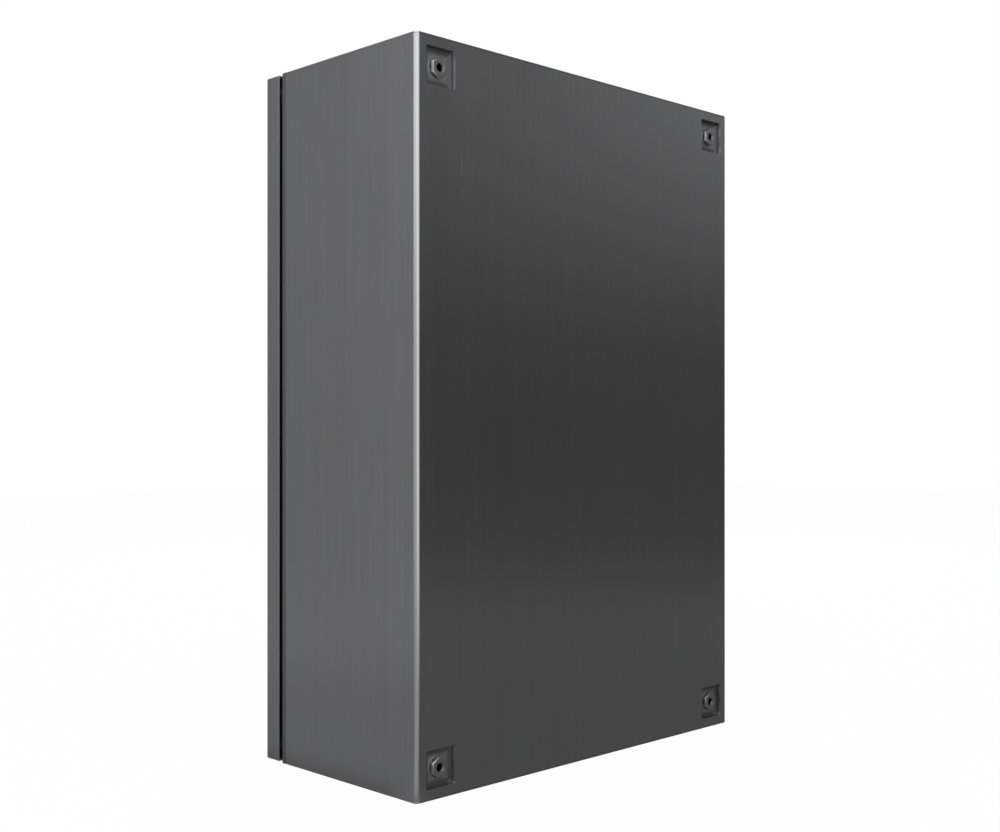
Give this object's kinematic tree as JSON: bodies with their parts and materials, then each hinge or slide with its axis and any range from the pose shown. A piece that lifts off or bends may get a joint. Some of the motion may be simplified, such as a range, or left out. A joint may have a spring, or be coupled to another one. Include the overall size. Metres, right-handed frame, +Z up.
{
  "type": "steel wall enclosure",
  "caption": "Brushed steel wall cabinet with a hinged, sealed door, a mounting plate, a cable entry plate and threaded bushes in recessed rear corners for fixing to a wall.",
  "frame": {"origin": "middle of the rear panel's outer face, which lies against the wall", "axes": "+Z up, +Y out of the rear panel into the wall, +X to the right of a person who faces the door, so the door is at -Y, hinged at -X and locked at +X"},
  "size_m": [0.4, 0.2088, 0.6],
  "materials": {
    "brushed_sheet": "vertically brushed stainless sheet, satin",
    "bright_steel": "turned stainless steel, bright",
    "inner_steel": "mill-finish stainless steel",
    "zinc_plate": "zinc-plated steel",
    "die_cast": "die-cast zinc, satin",
    "black_foam": "foamed-in-place polyurethane and black rubber, matt"
  },
  "bodies": {
    "body": {"body_wrapper": "brushed_sheet", "top_panel": "brushed_sheet", "bottom_panel": "brushed_sheet", "front_frame": "brushed_sheet", "wall_bushes": "bright_steel", "bush_seals": "black_foam", "bush_nuts": "zinc_plate", "plate_studs": "inner_steel", "plate_spacers": "zinc_plate", "mounting_plate": "zinc_plate", "plate_washers": "zinc_plate", "plate_nuts": "zinc_plate", "gland_studs": "inner_steel", "gland_gasket": "black_foam", "gland_plate": "brushed_sheet", "gland_nuts": "zinc_plate", "body_earth_stud": "zinc_plate", "body_earth_nut": "zinc_plate", "hinge_bracket_upper": "die_cast", "hinge_bracket_lower": "die_cast", "hinge_pin_upper": "inner_steel", "hinge_pin_lower": "inner_steel", "hinge_screws": "zinc_plate"},
    "door": {"door_panel": "brushed_sheet", "door_gasket": "black_foam", "door_rail_left": "inner_steel", "door_rail_right": "inner_steel", "hinge_leaf_upper": "die_cast", "hinge_leaf_lower": "die_cast", "hinge_studs": "inner_steel", "hinge_nuts": "zinc_plate", "door_earth_stud": "zinc_plate", "door_earth_nut": "zinc_plate", "lock_seals": "black_foam", "lock_housing_upper": "die_cast", "lock_housing_lower": "die_cast", "lock_nuts": "zinc_plate"},
    "lock_upper": {"lock_rotor_upper": "die_cast", "lock_cam_upper": "zinc_plate", "lock_screw_upper": "zinc_plate"},
    "lock_lower": {"lock_rotor_lower": "die_cast", "lock_cam_lower": "zinc_plate", "lock_screw_lower": "zinc_plate"}
  },
  "joints": [
    {"name": "door_hinge", "type": "hinge", "parent": "body", "child": "door", "pos_m": [-0.1941, -0.1913, 0], "axis": [0, 0, -1], "range_deg": [0, 120]},
    {"name": "upper_lock_turn", "type": "hinge", "parent": "door", "child": "lock_upper", "pos_m": [0.154, -0.196, 0.17], "axis": [0, -1, 0], "range_deg": [0, 90]},
    {"name": "lower_lock_turn", "type": "hinge", "parent": "door", "child": "lock_lower", "pos_m": [0.154, -0.196, -0.17], "axis": [0, -1, 0], "range_deg": [0, 90]}
  ]
}
